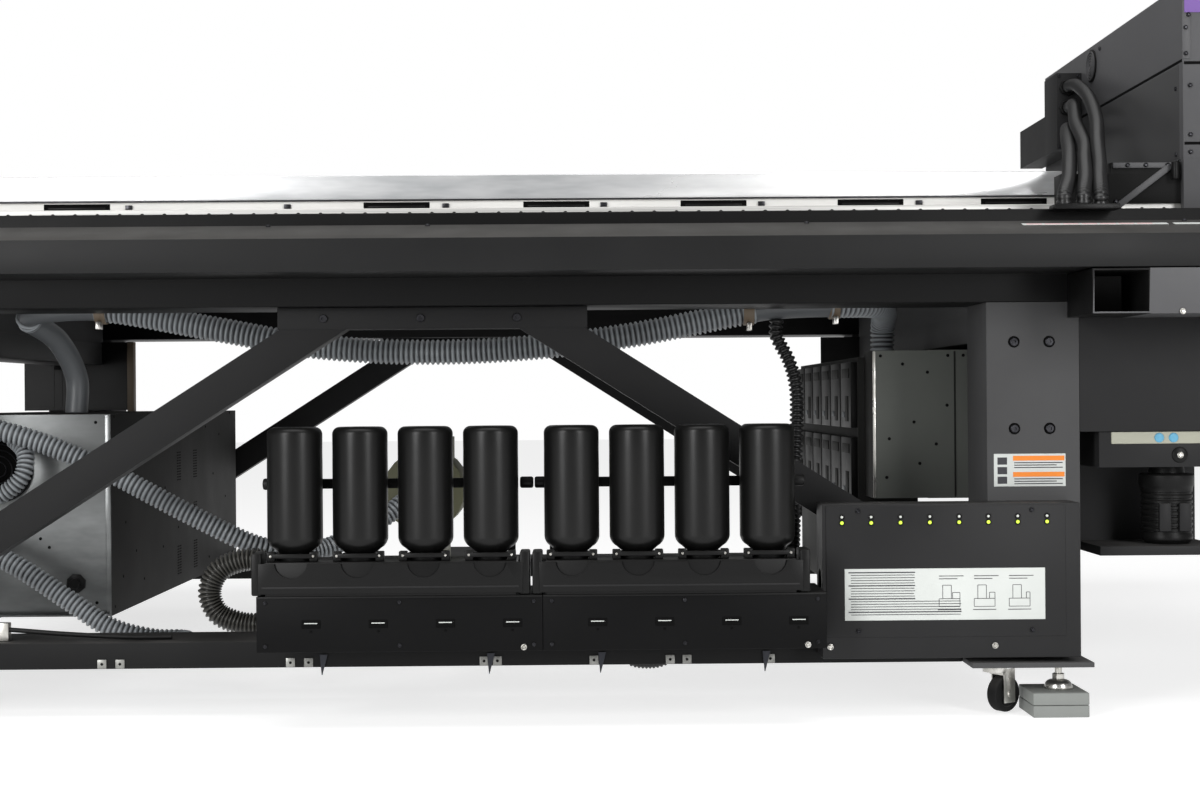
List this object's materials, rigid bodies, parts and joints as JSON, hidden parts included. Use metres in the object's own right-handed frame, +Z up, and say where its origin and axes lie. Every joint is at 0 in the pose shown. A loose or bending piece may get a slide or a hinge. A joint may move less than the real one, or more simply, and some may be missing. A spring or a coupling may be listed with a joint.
{
  "type": "flatbed printer",
  "caption": "Flatbed UV inkjet printer with a travelling gantry, ink bottles in trays, vacuum table, feet and casters.",
  "frame": {"origin": "on the floor under the middle of the machine", "axes": "+X along the table towards the gantry's parking end, +Z up, -Y the ink supply side"},
  "size_m": [3.76, 1.95, 1.236],
  "materials": {
    "black_paint": "textured satin powder coat",
    "grey_paint": "textured powder coat",
    "cabinet_paint": "fine textured powder coat",
    "olive_paint": "satin enamel on cast aluminium",
    "galvanised": "galvanised, streaky",
    "bare_steel": "ground steel",
    "bridge_aluminium": "anodised",
    "table_aluminium": "anodised",
    "block_paint": "matt grey",
    "tyre": "matt",
    "bottle_plastic": "satin black",
    "hose_plastic": "ribbed grey",
    "black_plastic": "satin black"
  },
  "bodies": {
    "machine": {"bed_beam_front": "black_paint", "bed_beam_rear": "black_paint", "blower_rail": "grey_paint", "bracing_front": "black_paint", "bracing_rear": "black_paint", "drain_hose": "black_plastic", "end_frame_left": "grey_paint", "end_frame_right": "grey_paint", "feed_hose": "hose_plastic", "filter_canister": "black_plastic", "filter_hanger": "black_paint", "foot_block_front_left": "block_paint", "foot_block_front_right": "block_paint", "foot_block_rear_left": "block_paint", "foot_block_rear_right": "block_paint", "indicator_box": "black_paint", "ink_fascia_left": "black_paint", "ink_fascia_right": "black_paint", "ink_tray_left": "black_paint", "ink_tray_right": "black_paint", "lower_beam_front": "grey_paint", "lower_beam_rear": "grey_paint", "module_rack": "black_paint", "power_box_left": "cabinet_paint", "power_box_right": "cabinet_paint", "rail_cover_front": "black_paint", "rail_cover_rear": "black_paint", "rail_front": "bare_steel", "rail_rear": "bare_steel", "station_housing": "black_paint", "station_panel": "cabinet_paint", "suction_hose": "hose_plastic", "vacuum_blower": "olive_paint", "vacuum_table": "table_aluminium", "waste_hose": "hose_plastic"},
    "gantry": {"gantry_hood": "cabinet_paint", "gantry_bridge": "bridge_aluminium", "junction_box": "black_paint", "conduits": "black_plastic"},
    "carriage": {"print_carriage": "black_paint"},
    "bottle_1": {"ink_bottle_1": "bottle_plastic"},
    "bottle_2": {"ink_bottle_2": "bottle_plastic"},
    "bottle_3": {"ink_bottle_3": "bottle_plastic"},
    "bottle_4": {"ink_bottle_4": "bottle_plastic"},
    "bottle_5": {"ink_bottle_5": "bottle_plastic"},
    "bottle_6": {"ink_bottle_6": "bottle_plastic"},
    "bottle_7": {"ink_bottle_7": "bottle_plastic"},
    "bottle_8": {"ink_bottle_8": "bottle_plastic"},
    "foot_front_left": {"levelling_foot_front_left": "bare_steel"},
    "fork_front_left": {"caster_front_left_fork": "galvanised"},
    "wheel_front_left": {"caster_front_left_wheel": "tyre"},
    "foot_front_right": {"levelling_foot_front_right": "bare_steel"},
    "fork_front_right": {"caster_front_right_fork": "galvanised"},
    "wheel_front_right": {"caster_front_right_wheel": "tyre"},
    "foot_rear_left": {"levelling_foot_rear_left": "bare_steel"},
    "fork_rear_left": {"caster_rear_left_fork": "galvanised"},
    "wheel_rear_left": {"caster_rear_left_wheel": "tyre"},
    "foot_rear_right": {"levelling_foot_rear_right": "bare_steel"},
    "fork_rear_right": {"caster_rear_right_fork": "galvanised"},
    "wheel_rear_right": {"caster_rear_right_wheel": "tyre"}
  },
  "joints": [
    {"name": "gantry_travel", "type": "slide", "parent": "machine", "child": "gantry", "axis": [-1, 0, 0], "range_m": [0, 2.9]},
    {"name": "carriage_travel", "type": "slide", "parent": "gantry", "child": "carriage", "axis": [0, 1, 0], "range_m": [0, 0.9]},
    {"name": "bottle_1_lift", "type": "slide", "parent": "machine", "child": "bottle_1", "axis": [0, 0, 1], "range_m": [0, 0.1]},
    {"name": "bottle_2_lift", "type": "slide", "parent": "machine", "child": "bottle_2", "axis": [0, 0, 1], "range_m": [0, 0.1]},
    {"name": "bottle_3_lift", "type": "slide", "parent": "machine", "child": "bottle_3", "axis": [0, 0, 1], "range_m": [0, 0.1]},
    {"name": "bottle_4_lift", "type": "slide", "parent": "machine", "child": "bottle_4", "axis": [0, 0, 1], "range_m": [0, 0.1]},
    {"name": "bottle_5_lift", "type": "slide", "parent": "machine", "child": "bottle_5", "axis": [0, 0, 1], "range_m": [0, 0.1]},
    {"name": "bottle_6_lift", "type": "slide", "parent": "machine", "child": "bottle_6", "axis": [0, 0, 1], "range_m": [0, 0.1]},
    {"name": "bottle_7_lift", "type": "slide", "parent": "machine", "child": "bottle_7", "axis": [0, 0, 1], "range_m": [0, 0.1]},
    {"name": "bottle_8_lift", "type": "slide", "parent": "machine", "child": "bottle_8", "axis": [0, 0, 1], "range_m": [0, 0.1]},
    {"name": "foot_front_left_screw", "type": "slide", "parent": "machine", "child": "foot_front_left", "axis": [0, 0, 1], "range_m": [0, 0.01]},
    {"name": "caster_front_left_swivel", "type": "hinge", "parent": "machine", "child": "fork_front_left", "pos_m": [-0.93, -0.8515, 0.07], "axis": [0, 0, 1], "continuous": true},
    {"name": "caster_front_left_roll", "type": "hinge", "parent": "fork_front_left", "child": "wheel_front_left", "pos_m": [-0.94638, -0.84003, 0.032], "axis": [-0.5736, -0.8192, 0], "continuous": true},
    {"name": "foot_front_right_screw", "type": "slide", "parent": "machine", "child": "foot_front_right", "axis": [0, 0, 1], "range_m": [0, 0.01]},
    {"name": "caster_front_right_swivel", "type": "hinge", "parent": "machine", "child": "fork_front_right", "pos_m": [0.93, -0.8515, 0.07], "axis": [0, 0, 1], "continuous": true},
    {"name": "caster_front_right_roll", "type": "hinge", "parent": "fork_front_right", "child": "wheel_front_right", "pos_m": [0.94638, -0.84003, 0.032], "axis": [-0.5736, 0.8192, 0], "continuous": true},
    {"name": "foot_rear_left_screw", "type": "slide", "parent": "machine", "child": "foot_rear_left", "axis": [0, 0, 1], "range_m": [0, 0.01]},
    {"name": "caster_rear_left_swivel", "type": "hinge", "parent": "machine", "child": "fork_rear_left", "pos_m": [-0.93, 0.8515, 0.07], "axis": [0, 0, 1], "continuous": true},
    {"name": "caster_rear_left_roll", "type": "hinge", "parent": "fork_rear_left", "child": "wheel_rear_left", "pos_m": [-0.94638, 0.84003, 0.032], "axis": [0.5736, -0.8192, 0], "continuous": true},
    {"name": "foot_rear_right_screw", "type": "slide", "parent": "machine", "child": "foot_rear_right", "axis": [0, 0, 1], "range_m": [0, 0.01]},
    {"name": "caster_rear_right_swivel", "type": "hinge", "parent": "machine", "child": "fork_rear_right", "pos_m": [0.93, 0.8515, 0.07], "axis": [0, 0, 1], "continuous": true},
    {"name": "caster_rear_right_roll", "type": "hinge", "parent": "fork_rear_right", "child": "wheel_rear_right", "pos_m": [0.94638, 0.84003, 0.032], "axis": [0.5736, 0.8192, 0], "continuous": true}
  ]
}
